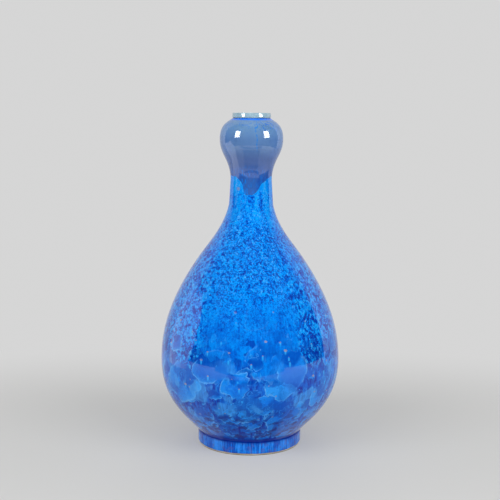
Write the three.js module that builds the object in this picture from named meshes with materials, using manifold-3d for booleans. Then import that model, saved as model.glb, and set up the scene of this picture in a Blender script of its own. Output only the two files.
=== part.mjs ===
// Garlic-mouth vase with a blue crystalline glaze.
// The body is thrown in sections that are luted together with slip at level joints:
// foot ring, two halves of the belly, neck, garlic bulb and lip collar.
// Over the clay lie the glaze coats: crystal blue from the foot to the neck, slate on the bulb,
// pale on the lip, and a clear lining inside and in the recess under the foot.
// Millimetres, +Z up. The origin is the centre of the foot's ring, on the floor.
// The front, where the longest tongue of slate glaze hangs, is -Y.
import * as THREE from 'three';
import { mergeVertices } from 'three/addons/utils/BufferGeometryUtils.js';
import Module from 'manifold-3d';

// Heights of the outline's stretches, from the floor up
const footHeight = 12;
const bellyRise = 65;
const shoulderRise = 100.2;
const neckRise = 59.8;
const bulbRise = 40;
const crownRise = 18.4;
const lipHeight = 4.6;

// Radii of the finished surface
const footRadius = 47.1;
const bellyRadius = 81;
const shoulderRadius = 42.7;
const neckRadius = 18.2;
const bulbRadius = 28.4;
const lipRadius = 17.25;
const mouthRadius = 12.5;

// How the outline leans in from the vertical at the three places where it isn't upright
const creaseLean = THREE.MathUtils.degToRad(-31.6);
const shoulderLean = THREE.MathUtils.degToRad(36.3);
const crownLean = THREE.MathUtils.degToRad(53.7);

// Foot: rounding beside the crease, bare rim, ring width at the floor and small chamfers
const footEdge = 0.7;
const bareRim = 1.6;
const footRingWidth = 5;
const footRingTaper = 1.4;
const rimChamfer = 0.6;

// Lip: rounding of its top edges, undercut above the crown, bare step under its glaze
const lipEdge = 0.9;
const lipUndercut = 0.35;
const lipStep = 0.4;
const lipGlazeInside = 2.4;

// Clay wall and floor, which thicken towards the foot as a thrown wall does
const wallAtFoot = 5;
const wallAtLip = 3.2;
const floorThickness = 6;
const floorFlatRadius = 26;
const coveRise = 20;

// Glaze coats: the outer coat has run down, so it is thickest at the foot
const coatAtFoot = 1.2;
const coatAtLip = 0.6;
const lipCoat = 0.6;
const liningCoat = 0.6;
const baseCoat = 0.6;

// Slip joints: their levels, their thickness, and the bead wiped over each on the inside
const neckJointRise = 24;
const bulbJointRise = 11;
const slipThickness = 0.8;
const slipSetback = 0.25;
const beadHalfHeight = 3.5;
const beadReach = 1.1;

// Edge between the two outer glazes: its level above the neck's narrowest place, and the gap there
const dripRise = 7.5;
const dripGap = 0.3;

// Tongues of slate glaze that have run down below that level, with lobes of blue between them:
// place round the neck in degrees from the front, drop, and width to the left and right in mm.
// The front has a wide shallow tongue and a narrow one inside it, steeper on the left.
const tongues = [
  { place: 0, drop: 7, left: 12, right: 16 },
  { place: -8, drop: 9.3, left: 4.8, right: 9.5 },
  { place: 100, drop: 6, left: 6, right: 7 },
  { place: 152, drop: 13, left: 6, right: 8 },
  { place: 205, drop: 7, left: 8, right: 6 },
  { place: 262, drop: 10, left: 7, right: 5 },
];

// Facets
const facetsRound = 32;
const dripFacetsRound = 2 * facetsRound;
const edgeSteps = 2;
const coveSteps = 2;

// Levels, from the floor up
const creaseLevel = footHeight;
const bellyLevel = creaseLevel + bellyRise;
const shoulderLevel = bellyLevel + shoulderRise;
const neckLevel = shoulderLevel + neckRise;
const bulbLevel = neckLevel + bulbRise;
const crownLevel = bulbLevel + crownRise;
const topLevel = crownLevel + lipHeight;

// Stations of the outline, from the crease over the foot to the crown under the lip. below and
// above are the reach of the curve's handles, as shares of the rise to the station on that side:
// the longer the handle, the fuller the curve.
const stations = [
  { radius: footRadius - footEdge, level: creaseLevel, lean: creaseLean, below: 0, above: 0.197 },
  { radius: bellyRadius, level: bellyLevel, lean: 0, below: 0.603, above: 0.2 },
  { radius: shoulderRadius, level: shoulderLevel, lean: shoulderLean, below: 0.599, above: 0.3 },
  { radius: neckRadius, level: neckLevel, lean: 0, below: 0.513, above: 0.566 },
  { radius: bulbRadius, level: bulbLevel, lean: 0, below: 0.389, above: 0.69 },
  { radius: lipRadius - lipUndercut, level: crownLevel, lean: crownLean, below: 0.33, above: 0 },
];
const outerSteps = [5, 4, 4, 4, 3];
const innerSteps = [2, 2, 3, 3, 2];
const bendSamples = 200;

// The direction in which the outline climbs at a lean from the vertical.
function climb(lean) {
  return new THREE.Vector2(-Math.sin(lean), Math.cos(lean));
}

// The outline's curve from one station up to the next.
function stretch(low, high) {
  const rise = high.level - low.level;
  const start = new THREE.Vector2(low.radius, low.level);
  const end = new THREE.Vector2(high.radius, high.level);
  const leave = climb(low.lean).multiplyScalar(low.above * rise);
  const arrive = climb(high.lean).multiplyScalar(high.below * rise);
  return new THREE.CubicBezierCurve(start, start.clone().add(leave), end.clone().sub(arrive), end);
}

// Places along a curve, as shares from 0 to 1, between which it bends by equal angles.
function evenBends(curve, steps) {
  const bends = [0];
  let before = curve.getTangent(0);
  for (let i = 1; i <= bendSamples; i += 1) {
    const along = curve.getTangent(i / bendSamples);
    bends.push(bends[i - 1] + Math.acos(Math.min(before.dot(along), 1)));
    before = along;
  }
  const places = [];
  for (let step = 0; step <= steps; step += 1) {
    const wanted = (bends[bendSamples] * step) / steps;
    const next = Math.max(bends.findIndex((bend) => bend >= wanted), 1);
    const past = THREE.MathUtils.inverseLerp(bends[next - 1], bends[next], wanted);
    places.push((next - 1 + past) / bendSamples);
  }
  return places;
}

// A line that rises beside the outline, as far inside it as depthAt gives at each level.
function skin(depthAt, stepsOf) {
  const line = [];
  for (let i = 0; i + 1 < stations.length; i += 1) {
    const curve = stretch(stations[i], stations[i + 1]);
    const places = evenBends(curve, stepsOf[i]);
    for (const place of i === 0 ? places : places.slice(1)) {
      const point = curve.getPoint(place);
      const along = curve.getTangent(place);
      const inward = new THREE.Vector2(-along.y, along.x);
      line.push(point.clone().addScaledVector(inward, depthAt(point.y)));
    }
  }
  return line;
}

// A size that changes evenly from the crease over the foot to the crown under the lip.
function fromFootToLip(atFoot, atLip) {
  return (level) => THREE.MathUtils.mapLinear(level, creaseLevel, crownLevel, atFoot, atLip);
}
const coatAt = fromFootToLip(coatAtFoot, coatAtLip);
const wallAt = fromFootToLip(wallAtFoot, wallAtLip);

function at(radius, level) {
  return new THREE.Vector2(radius, level);
}

// A quarter of a circle about a centre, from one direction to another, in degrees.
function quarter(centreRadius, centreLevel, size, from, to, steps) {
  const points = [];
  for (let step = 0; step <= steps; step += 1) {
    const turn = THREE.MathUtils.degToRad(from + ((to - from) * step) / steps);
    points.push(at(centreRadius + size * Math.cos(turn), centreLevel + size * Math.sin(turn)));
  }
  return points;
}

// A rising line with a point added wherever it crosses one of the levels.
function withLevels(line, levels) {
  const made = [line[0]];
  for (let i = 1; i < line.length; i += 1) {
    const low = line[i - 1];
    const high = line[i];
    const crossed = levels.filter((level) => level > low.y && level < high.y).sort((a, b) => a - b);
    for (const level of crossed) {
      made.push(low.clone().lerp(high, (level - low.y) / (high.y - low.y)).setY(level));
    }
    made.push(high);
  }
  return made;
}

// The part of a rising line between two levels that it has points on.
function between(line, low, high) {
  return line.filter((point) => point.y >= low && point.y <= high);
}

// The line without the points that lie on a straight stretch of it.
function corners(line) {
  return line.filter((point, i) => {
    if (i === 0 || i === line.length - 1) return true;
    const arriving = point.clone().sub(line[i - 1]).normalize();
    const leaving = line[i + 1].clone().sub(point).normalize();
    return arriving.dot(leaving) < 1 - 1e-9;
  });
}

// The line moved sideways by a distance, to its left as it runs.
function moved(line, distance) {
  return line.map((point, i) => {
    const before = line[Math.max(i - 1, 0)];
    const after = line[Math.min(i + 1, line.length - 1)];
    const arriving = point.clone().sub(before).normalize();
    const leaving = after.clone().sub(point).normalize();
    const along = arriving.add(leaving).normalize();
    return point.clone().add(new THREE.Vector2(-along.y, along.x).multiplyScalar(distance));
  });
}

// Colours and gloss of clay, slip and glazes, as they look after firing.
function fired(colour, roughness) {
  return new THREE.MeshStandardMaterial({ color: colour, roughness, metalness: 0 });
}
const porcelain = () => fired('#e6dcc9', 0.75);
const slip = () => fired('#ddd0b8', 0.8);

const vase = new THREE.Group();

// A piece turned about the vase's axis from a loop of points, which rises on its outer side.
// Each ring between two points is a row of flat four-sided facets. The facets that face the axis
// are split along the other diagonal than the lathe's, so a surface that lies against another
// has the very same triangles.
function turnedGeometry(loop, facets) {
  const closed = loop[0].x === 0 ? loop : [...loop, loop[0]];
  const lathe = new THREE.LatheGeometry(closed, facets);
  const index = lathe.index.array;
  for (let start = 0; start < index.length; start += 6) {
    const row = (start / 6) % (closed.length - 1);
    if (closed[row + 1].y < closed[row].y) {
      const [here, hereNext, onward, onwardNext] = index.slice(start, start + 4);
      index.set([here, hereNext, onwardNext, here, onwardNext, onward], start);
    }
  }
  return lathe.rotateX(Math.PI / 2);
}

function addPiece(name, geometry, material) {
  const mesh = new THREE.Mesh(geometry, material);
  mesh.name = name;
  vase.add(mesh);
}

function addTurned(name, loop, material) {
  addPiece(name, turnedGeometry(loop, facetsRound), material);
}

// Levels of the slip joints. The belly is joined just above its widest, the neck above the shoulder,
// the bulb above the narrowest place, and the lip collar on the crown. A finger or a stick
// reaches the belly's and the neck's joints from above, and wipes a bead over them.
const halfSlip = slipThickness / 2;
const footJoint = creaseLevel;
const bellyJoint = bellyLevel + halfSlip;
const neckJoint = shoulderLevel + neckJointRise;
const bulbJoint = neckLevel + bulbJointRise;
const beadedJoints = [bellyJoint, neckJoint];
const wallJoints = [...beadedJoints, bulbJoint];
const jointFaces = [footJoint, ...wallJoints].flatMap((level) => [level - halfSlip, level + halfSlip]);

// Outside of the clay, from the floor to the crown. The glaze coat lies on it.
const clayFootRadius = footRadius - coatAtFoot;
const rimOuterRadius = clayFootRadius - rimChamfer;
const clayOutline = skin(coatAt, outerSteps);
const clayTop = clayOutline[clayOutline.length - 1].y;
const collarBottom = clayTop + slipThickness;
const clayOutside = withLevels(
  [
    at(rimOuterRadius, 0),
    at(clayFootRadius, rimChamfer),
    at(clayFootRadius, bareRim),
    ...clayOutline,
  ],
  jointFaces,
);

// Inside of the foot ring: a tapered wall up to the recess under the floor.
const rimInnerRadius = rimOuterRadius - footRingWidth;
const ringInnerRadius = rimInnerRadius - rimChamfer;
const recessRadius = ringInnerRadius - footRingTaper;
const recessTop = footJoint + halfSlip;
const ringInside = withLevels(
  [at(rimInnerRadius, 0), at(ringInnerRadius, rimChamfer), at(recessRadius, recessTop)],
  [bareRim, footJoint - halfSlip],
);

// Inside of the clay wall, from the top of the cove round the floor to the glaze of the lip.
const floorTop = recessTop + floorThickness;
const coveTop = floorTop + coveRise;
const clayMouthRadius = mouthRadius + lipCoat;
const liningTop = topLevel - lipGlazeInside;
const wallLine = skin((level) => coatAt(level) + wallAt(level), innerSteps);
const throatLevel = (wallLine[wallLine.length - 1].y + clayTop) / 2;
const wallToLip = [...wallLine, at(clayMouthRadius, throatLevel), at(clayMouthRadius, liningTop)];
const beadEnds = beadedJoints.flatMap((level) => [level - beadHalfHeight, level + beadHalfHeight]);
const wallWithBeads = withLevels(wallToLip, [coveTop, ...beadEnds]).filter((point) => {
  const underBead = (joint) => point.y > joint - beadHalfHeight && point.y < joint + beadHalfHeight;
  return point.y >= coveTop && !beadedJoints.some(underBead);
});
const clayInside = withLevels(wallWithBeads, jointFaces);

// Floor of the vase, and the cove that turns it up into the wall.
const coveEnd = clayInside[0];
const coveClimb = clayInside[1].clone().sub(coveEnd).normalize();
const cove = new THREE.CubicBezierCurve(
  at(floorFlatRadius, floorTop),
  at((floorFlatRadius + coveEnd.x) / 2, floorTop),
  coveEnd.clone().addScaledVector(coveClimb, -coveRise / 2),
  coveEnd,
).getPoints(coveSteps);
const floorLine = [at(0, floorTop), ...cove.slice(0, -1)];

// The point at which a bead of slip stands furthest out from the wall.
function beadCrest(joint) {
  const low = between(clayInside, joint - beadHalfHeight, joint)[0];
  const high = between(clayInside, joint, joint + beadHalfHeight).pop();
  return at((low.x + high.x) / 2 - beadReach, joint);
}

// The wall's whole thickness between two levels: a section of thrown clay, or the slip in a joint.
function addWallRing(name, low, high, material) {
  const outer = between(clayOutside, low, high);
  const inner = between(withLevels(clayInside, [high]), low, high).reverse();
  addTurned(name, [...outer, ...inner], material);
}

// Slip between two sections, wiped into a bead over the joint on the inside.
function addBeadedJoint(name, joint) {
  const outer = between(clayOutside, joint - halfSlip, joint + halfSlip);
  const upper = between(clayInside, joint + halfSlip, joint + beadHalfHeight);
  const lower = between(clayInside, joint - beadHalfHeight, joint - halfSlip);
  addTurned(name, [...outer, ...upper, beadCrest(joint), ...lower], slip());
}

// Foot ring, with the flat bare rim on which the vase stands.
const ringTop = footJoint - halfSlip;
addTurned(
  'foot_ring',
  [...between(clayOutside, 0, ringTop), ...between(ringInside, 0, ringTop).reverse()],
  porcelain(),
);
addTurned(
  'foot_slip_joint',
  [...between(clayOutside, ringTop, recessTop), ...between(ringInside, ringTop, recessTop).reverse()],
  slip(),
);

// Lower half of the belly, with the vase's floor.
const bellyTop = bellyJoint - halfSlip;
addTurned(
  'lower_belly',
  [
    at(0, recessTop),
    ...between(clayOutside, recessTop, bellyTop),
    ...between(clayInside, coveTop, bellyTop).reverse(),
    ...floorLine.slice().reverse(),
  ],
  porcelain(),
);
addBeadedJoint('belly_slip_joint', bellyJoint);

// Upper half of the belly with the shoulder, neck and bulb, each on the joint below it.
addWallRing('upper_belly', bellyJoint + halfSlip, neckJoint - halfSlip, porcelain());
addBeadedJoint('neck_slip_joint', neckJoint);
addWallRing('neck', neckJoint + halfSlip, bulbJoint - halfSlip, porcelain());
addWallRing('bulb_slip_joint', bulbJoint - halfSlip, bulbJoint + halfSlip, slip());
addWallRing('garlic_bulb', bulbJoint + halfSlip, clayTop, porcelain());

// Lip collar: a plain ring with rounded top edges, on a flat layer of slip.
const collarRadius = lipRadius - lipCoat;
const collarTop = topLevel - lipCoat;
const lipGlazeBottom = collarBottom + lipStep;

// The top of the lip from its outer side over to its inner side, at a height above the clay.
function overLip(height, steps) {
  const size = lipEdge + height;
  const outerEdge = quarter(collarRadius - lipEdge, collarTop - lipEdge, size, 0, 90, steps);
  const innerEdge = quarter(clayMouthRadius + lipEdge, collarTop - lipEdge, size, 90, 180, steps);
  return [...outerEdge, ...innerEdge];
}
const seatRadius = clayOutline[clayOutline.length - 1].x - slipSetback;
addTurned(
  'lip_slip_joint',
  [
    at(seatRadius, clayTop),
    at(seatRadius, collarBottom),
    at(clayMouthRadius, collarBottom),
    at(clayMouthRadius, clayTop),
  ],
  slip(),
);
const collarSide = [at(collarRadius, lipGlazeBottom), ...overLip(0, 1), at(clayMouthRadius, liningTop)];
addTurned(
  'lip_collar',
  [at(collarRadius, collarBottom), ...collarSide, at(clayMouthRadius, collarBottom)],
  porcelain(),
);
addTurned(
  'lip_glaze',
  [
    at(lipRadius, lipGlazeBottom),
    ...overLip(lipCoat, edgeSteps),
    at(mouthRadius, liningTop),
    ...collarSide.slice().reverse(),
  ],
  fired('#a9c0cf', 0.15),
);

// Clear lining over the floor, the wall and the beads of slip, up to the glaze of the lip.
const liningBack = [...floorLine, ...clayInside];
for (const joint of beadedJoints) {
  const first = liningBack.findIndex((point) => point.y > joint - beadHalfHeight);
  const next = liningBack.findIndex((point) => point.y >= joint + beadHalfHeight);
  liningBack.splice(first, next - first, beadCrest(joint));
}
addTurned(
  'inside_glaze',
  [...liningBack, ...moved(corners(liningBack), liningCoat).reverse()],
  fired('#cfd9dc', 0.2),
);

// Clear glaze in the recess under the foot, down to the bare rim.
const recessSide = between(ringInside, bareRim, recessTop);
addTurned(
  'base_glaze',
  [
    at(0, recessTop - baseCoat),
    at(recessRadius - baseCoat, recessTop - baseCoat),
    at(recessSide[0].x - baseCoat, bareRim),
    ...recessSide,
    at(0, recessTop),
  ],
  fired('#cfd9dc', 0.2),
);

// Finished surface from the rounded lower edge of the glaze, over the bare rim, to the crown.
const glazeFoot = quarter(clayFootRadius, bareRim + coatAtFoot, coatAtFoot, -90, 0, edgeSteps);
const glazeCrease = quarter(footRadius - footEdge, footHeight - footEdge, footEdge, 0, 90, edgeSteps);
const finished = [...glazeFoot, ...glazeCrease, ...skin(() => 0, outerSteps).slice(1)];

// Level of the edge between the two outer glazes, at an angle round the neck from the front.
const dripLevel = neckLevel + dripRise;
function dripEdge(angle) {
  let level = dripLevel;
  for (const tongue of tongues) {
    const turn = angle - THREE.MathUtils.degToRad(tongue.place);
    const nearest = Math.atan2(Math.sin(turn), Math.cos(turn));
    const across = (nearest * neckRadius) / (nearest < 0 ? tongue.left : tongue.right);
    level -= tongue.drop * Math.exp(-(across ** 4));
  }
  return level;
}

// Everything below that edge, raised by a height: a block whose top follows the edge.
function belowDripEdge(raised) {
  const reach = bellyRadius + footHeight;
  const core = neckRadius / 2;
  const top = [at(reach, dripLevel), at(core, dripLevel), at(0, dripLevel)];
  const block = turnedGeometry([at(0, -footHeight), at(reach, -footHeight), ...top], dripFacetsRound);
  const corner = new THREE.Vector3();
  const corners = block.attributes.position;
  for (let i = 0; i < corners.count; i += 1) {
    corner.fromBufferAttribute(corners, i);
    if (corner.z > 0 && Math.hypot(corner.x, corner.y) > core / 2) {
      corners.setZ(i, dripEdge(Math.atan2(corner.x, -corner.y)) + raised);
    }
  }
  return block;
}

const wasm = await Module();
wasm.setup();

function solidOf(geometry) {
  const bare = geometry.clone();
  bare.deleteAttribute('normal');
  bare.deleteAttribute('uv');
  const merged = mergeVertices(bare);
  return new wasm.Manifold(
    new wasm.Mesh({
      numProp: 3,
      vertProperties: merged.attributes.position.array,
      triVerts: new Uint32Array(merged.index.array),
    }),
  );
}

function geometryOf(solid) {
  const { vertProperties, triVerts } = solid.getMesh();
  const geometry = new THREE.BufferGeometry();
  geometry.setAttribute('position', new THREE.BufferAttribute(vertProperties, 3));
  geometry.setIndex(new THREE.BufferAttribute(triVerts, 1));
  geometry.computeVertexNormals();
  return geometry;
}

// The outer coat is one layer over the clay, parted on the neck by the edge with its tongues.
const coatBack = between(clayOutside, bareRim, clayTop).slice(1).reverse();
const coat = solidOf(turnedGeometry([...finished, ...coatBack], facetsRound));
const crystalGlaze = coat.intersect(solidOf(belowDripEdge(0)));
const bulbGlaze = coat.subtract(solidOf(belowDripEdge(dripGap)));
addPiece('crystal_glaze', geometryOf(crystalGlaze), fired('#2b76cf', 0.1));
addPiece('bulb_glaze', geometryOf(bulbGlaze), fired('#5f83b4', 0.12));

export default vase;
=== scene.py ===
# %% [markdown]
# # A garlic-mouth vase under a running crystalline glaze
# The vase stands 300 mm tall. It was thrown in sections that are luted together, and it wears
# several coats of glaze: blue with crystals over the body, slate on the bulb, pale on the lip.
# The packed model gives the exact sizes. This lesson dresses it: round coats in fine meshes,
# glazes made of shader nodes, and a small photo studio.

# %% Load the vase as a fixed frame
import math

import bpy
import numpy as np
from mathutils import Matrix, Vector


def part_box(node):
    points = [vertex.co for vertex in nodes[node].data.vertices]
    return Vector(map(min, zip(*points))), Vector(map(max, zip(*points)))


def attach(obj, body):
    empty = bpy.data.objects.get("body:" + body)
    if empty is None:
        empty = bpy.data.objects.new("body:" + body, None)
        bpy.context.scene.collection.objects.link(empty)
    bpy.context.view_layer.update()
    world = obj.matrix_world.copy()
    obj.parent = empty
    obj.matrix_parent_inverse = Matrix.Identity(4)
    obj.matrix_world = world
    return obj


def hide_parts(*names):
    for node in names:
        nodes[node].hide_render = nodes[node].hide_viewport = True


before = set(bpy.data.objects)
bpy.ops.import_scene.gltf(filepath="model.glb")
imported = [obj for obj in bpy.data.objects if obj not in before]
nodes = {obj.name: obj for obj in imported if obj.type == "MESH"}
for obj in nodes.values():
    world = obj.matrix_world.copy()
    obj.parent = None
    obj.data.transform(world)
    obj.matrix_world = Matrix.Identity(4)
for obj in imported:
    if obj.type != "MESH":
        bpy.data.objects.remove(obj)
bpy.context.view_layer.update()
mm = 0.001

# %% [markdown]
# ## The outline
# A thrown vase is one line turned about an axis, so the line comes first. It could be traced
# point by point, but six stations joined by Bezier curves say the same with fewer numbers, and
# each number means something: a radius, a level, a lean. Where a packed node already has a
# size, it is read from that node's box.

# %% Sizes of the outline
belly_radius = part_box("crystal_glaze")[1].x
bulb_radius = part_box("bulb_glaze")[1].x
crown_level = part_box("bulb_glaze")[1].z
lip_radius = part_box("lip_glaze")[1].x
lip_bottom, lip_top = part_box("lip_glaze")[0].z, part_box("lip_glaze")[1].z
crease_level = 12 * mm
belly_level = 77 * mm
shoulder_radius, shoulder_level = 42.7 * mm, 177.2 * mm
neck_radius, neck_level = 18.2 * mm, 237 * mm
bulb_level = 277 * mm
foot_radius, foot_edge = 47.1 * mm, 0.7 * mm
lip_undercut = 0.35 * mm

# Radius, level, lean in degrees, and the reach of the handles below and above
stations = [
    (foot_radius - foot_edge, crease_level, -31.6, 0, 0.197),
    (belly_radius, belly_level, 0, 0.603, 0.2),
    (shoulder_radius, shoulder_level, 36.3, 0.599, 0.3),
    (neck_radius, neck_level, 0, 0.513, 0.566),
    (bulb_radius, bulb_level, 0, 0.389, 0.69),
    (lip_radius - lip_undercut, crown_level, 53.7, 0.33, 0),
]
print("belly", round(2 * belly_radius / mm, 1), "mm across, bulb", round(2 * bulb_radius / mm, 1), "mm")


# %% The curve through the stations
def climb(lean):
    """The direction in which the outline rises, as (radius, level)."""
    return np.array([-math.sin(math.radians(lean)), math.cos(math.radians(lean))])


def stretch(low, high, count=120):
    """Points of the curve from one station up to the next."""
    rise = high[1] - low[1]
    start, end = np.array(low[:2]), np.array(high[:2])
    leave = start + climb(low[2]) * low[4] * rise
    arrive = end - climb(high[2]) * high[3] * rise
    t = np.linspace(0, 1, count)[:, None]
    near_start = (1 - t) ** 3 * start + 3 * (1 - t) ** 2 * t * leave
    return near_start + 3 * (1 - t) * t**2 * arrive + t**3 * end


line = np.vstack([stretch(low, high) for low, high in zip(stations, stations[1:])])


def wall_radius(level):
    """Radius of the finished surface at a level above the crease over the foot."""
    return np.interp(level, line[:, 1], line[:, 0])


shoulder_mm = float(wall_radius(150 * mm)) / mm
print("outline points:", len(line), "radius at 150 mm:", round(shoulder_mm, 1), "mm")

# %% [markdown]
# ## Turning a line into a mesh
# Blender's Screw modifier could turn a line, but the edges of these glazes aren't level: they
# hang in tongues. So a small function builds the grid itself. It takes, for each row of the
# grid, a radius and a level at each angle round the vase, and closes the grid both ways.
# Edges on thrown ware are rounded, so a second helper gives the rows of a round corner.

# %% Rows of the grid
round_steps = 288
angles = np.linspace(0, 2 * math.pi, round_steps, endpoint=False)


def ring(radius, level):
    """One row of the grid: a radius and a level, either of them a number or one for each angle."""
    spread = [np.broadcast_to(value, round_steps) for value in (radius, level)]
    return np.stack(spread, axis=1)


def rounded(radius, level, out, up, start, stop, count):
    """Rows round a corner, on an arc about a centre, from one angle in degrees to another."""
    turns = np.radians(np.linspace(start, stop, count))
    return [ring(radius + out * math.cos(turn), level + up * math.sin(turn)) for turn in turns]


print("angle between two points of a row:", 360 / round_steps, "degrees")

# %% The lathe
sharp_angle = math.radians(50)


def turned(name, rows, replaces):
    """A closed piece from rows that rise on its outside. Angle 0 faces the front, which is -Y."""
    grid = np.array(rows)
    x = grid[:, :, 0] * np.sin(angles)
    y = -grid[:, :, 0] * np.cos(angles)
    points = np.stack([x, y, grid[:, :, 1]], axis=2).reshape(-1, 3)
    count = len(rows)
    row, column = np.meshgrid(np.arange(count), np.arange(round_steps), indexing="ij")
    onward, beside = (row + 1) % count, (column + 1) % round_steps
    corners = [(row, column), (row, beside), (onward, beside), (onward, column)]
    faces = np.stack([r * round_steps + c for r, c in corners], axis=2).reshape(-1, 4)
    mesh = bpy.data.meshes.new(name)
    mesh.from_pydata(points.tolist(), [], faces.tolist())
    mesh.validate()
    mesh.shade_smooth()
    mesh.set_sharp_from_angle(angle=sharp_angle)
    piece = bpy.data.objects.new(name, mesh)
    bpy.context.scene.collection.objects.link(piece)
    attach(piece, "root")
    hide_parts(*replaces)
    print(name, "faces:", len(faces))
    return piece


# %% [markdown]
# ## Where the two outer glazes meet
# In the kiln the slate glaze of the bulb ran down over the blue, in tongues. The edge could be
# drawn as a curve on the neck. Here each tongue is a place round the neck in degrees, a drop
# and a width on either side in mm, and a bell-shaped formula adds their drops, so both coats
# can follow the same edge. The coat of slate is thickest just above it, where the run stopped.

# %% The edge with its tongues
drip_level = neck_level + 7.5 * mm
# Place in degrees, drop in mm, width at the left and at the right in mm
tongues = [
    (0, 7, 12, 16),
    (-8, 9.3, 4.8, 9.5),
    (100, 6, 6, 7),
    (152, 13, 6, 8),
    (205, 7, 8, 6),
    (262, 10, 7, 5),
]


def drip_edge(angle):
    """Level of the edge of the slate glaze at an angle round the neck."""
    level = np.full_like(angle, drip_level)
    for place, drop, left, right in tongues:
        turn = angle - math.radians(place)
        nearest = np.arctan2(np.sin(turn), np.cos(turn))
        width = np.where(nearest < 0, left, right) * mm
        level -= drop * mm * np.exp(-((nearest * neck_radius / width) ** 4))
    return level


def waver(seed, depth, waves):
    """A smooth random wave round the vase, for edges that a brush or the fire has left uneven."""
    steady = np.random.default_rng(seed)
    total = np.zeros(round_steps)
    for k in waves:
        total += steady.normal() * np.sin(k * angles + steady.uniform(0, 2 * math.pi))
    return depth * total / math.sqrt(len(waves))


edge = drip_edge(angles) + waver(seed=3, depth=0.22 * mm, waves=range(9, 30, 3))
print("edge from", round(edge.min() / mm, 1), "to", round(edge.max() / mm, 1), "mm")

# %% [markdown]
# ## The crystal glaze
# This is the large blue coat. It starts as a thick rounded roll just above the bare rim of the
# foot, turns in at the crease, and follows the outline up to the edge on the neck. A solidified
# copy of the clay could stand for it, but a coat of its own rows can roll and waver. A real
# coat is never quite even, so a very slight ripple makes its reflections move.

# %% The roll over the bare rim, and the foot
bare_rim = 1.6 * mm
clay_foot_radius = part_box("foot_ring")[1].x
roll = foot_radius - clay_foot_radius
coat_thickness = 0.6 * mm
foot_line = bare_rim + waver(seed=5, depth=0.18 * mm, waves=range(5, 26, 4))
edge_level = crease_level - foot_edge

blue_rows = rounded(clay_foot_radius, foot_line + roll, roll, roll, -90, 0, 7)
blue_rows += [ring(foot_radius, level) for level in np.linspace(4 * mm, edge_level, 9)]
blue_rows += rounded(foot_radius - foot_edge, edge_level, foot_edge, foot_edge, 15, 90, 6)
print("rows up to the crease:", len(blue_rows))


# %% The coat's outside, with its ripple
def ripple(level):
    """A few hundredths of a millimetre by which the glaze lies lower, here and there."""
    slow = np.sin(3 * angles + level / (23 * mm)) * np.sin(2 * angles - level / (31 * mm) + 1)
    quick = np.sin(7 * angles + level / (9 * mm) + 2)
    return (0.10 * slow + 0.03 * quick - 0.13) * mm


row_step, tuck_under = 1.0 * mm, 0.8 * mm
ripple_ease = 20 * mm
straight_top = neck_level - 16 * mm
for level in np.arange(crease_level + 0.6 * mm, straight_top, row_step):
    eased = np.clip((level - crease_level) / ripple_ease, 0, 1)
    blue_rows.append(ring(wall_radius(level) + eased * ripple(level), level))
for share in np.linspace(0, 1, 24):
    level = straight_top + share * (edge + tuck_under - straight_top)
    blue_rows.append(ring(wall_radius(level) + ripple(level) * (1 - share), level))
print("rows up to the edge on the neck:", len(blue_rows))

# %% The coat's inside, and the piece
for share in np.linspace(1, 0, 40)[1:-1]:
    level = crease_level + share * (straight_top - crease_level)
    blue_rows.append(ring(wall_radius(level) - coat_thickness, level))
blue_rows.append(ring(clay_foot_radius, crease_level))
blue_rows.append(ring(clay_foot_radius, bare_rim + 0.4 * mm))
blue_coat = turned("blue_coat", blue_rows, ["crystal_glaze"])

# %% [markdown]
# ## The slate coat
# The slate glaze lies over the blue one. A colour alone could show it, but on the real vase the
# run has a raised, rounded edge that catches the light. So its surface stands proud by a
# quarter of a millimetre at the edge and settles to the outline above it.

# %% The slate coat, from its edge up and back down inside
lap, lap_fade, edge_round = 0.28 * mm, 5 * mm, 0.35 * mm
fixed_from = neck_level + 14 * mm
slate_rows = []
for share in np.linspace(0, 1, 44) ** 2:
    level = edge + share * (fixed_from - edge)
    above = level - edge
    proud = lap * np.sqrt(np.clip(1 - (1 - np.clip(above / edge_round, 0, 1)) ** 2, 0, 1))
    slate_rows.append(ring(wall_radius(level) + proud * np.exp(-above / lap_fade) - 0.02 * mm, level))
for level in np.arange(fixed_from + 0.8 * mm, crown_level, 0.8 * mm):
    slate_rows.append(ring(wall_radius(level), level))
slate_rows.append(ring(lip_radius - lip_undercut, crown_level))
for level in np.linspace(crown_level, fixed_from, 40)[1:]:
    slate_rows.append(ring(wall_radius(level) - coat_thickness, level))
slate_rows.append(ring(wall_radius(edge) - coat_thickness, edge))
slate_coat = turned("slate_coat", slate_rows, ["bulb_glaze"])

# %% [markdown]
# ## The lip's coat
# The collar of a garlic mouth is a plain band, and its glaze softens every edge. Two arcs do
# that: a tall, slight one outside, and a round one that turns into the mouth.

# %% The lip's coat
mouth_radius = 12.5 * mm
lip_round, lip_shoulder, inner_round = 0.6 * mm, 4.2 * mm, 1.5 * mm
lining_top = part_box("inside_glaze")[1].z
coat_below = lip_top - 2 * coat_thickness

lip_rows = [ring(lip_radius - 0.15 * mm, lip_bottom), ring(lip_radius, lip_bottom + 0.3 * mm)]
lip_rows += rounded(lip_radius - lip_round, lip_top - lip_shoulder, lip_round, lip_shoulder, 0, 90, 16)
mouth_centre = (mouth_radius + inner_round, lip_top - inner_round)
lip_rows += rounded(*mouth_centre, inner_round, inner_round, 90, 180, 10)
lip_rows += [ring(mouth_radius, lining_top), ring(mouth_radius + coat_thickness, lining_top)]
lip_rows.append(ring(mouth_radius + coat_thickness, coat_below))
lip_rows.append(ring(lip_radius - coat_thickness, coat_below))
lip_rows.append(ring(lip_radius - coat_thickness, lip_bottom))
lip_coat = turned("lip_coat", lip_rows, ["lip_glaze"])

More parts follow.
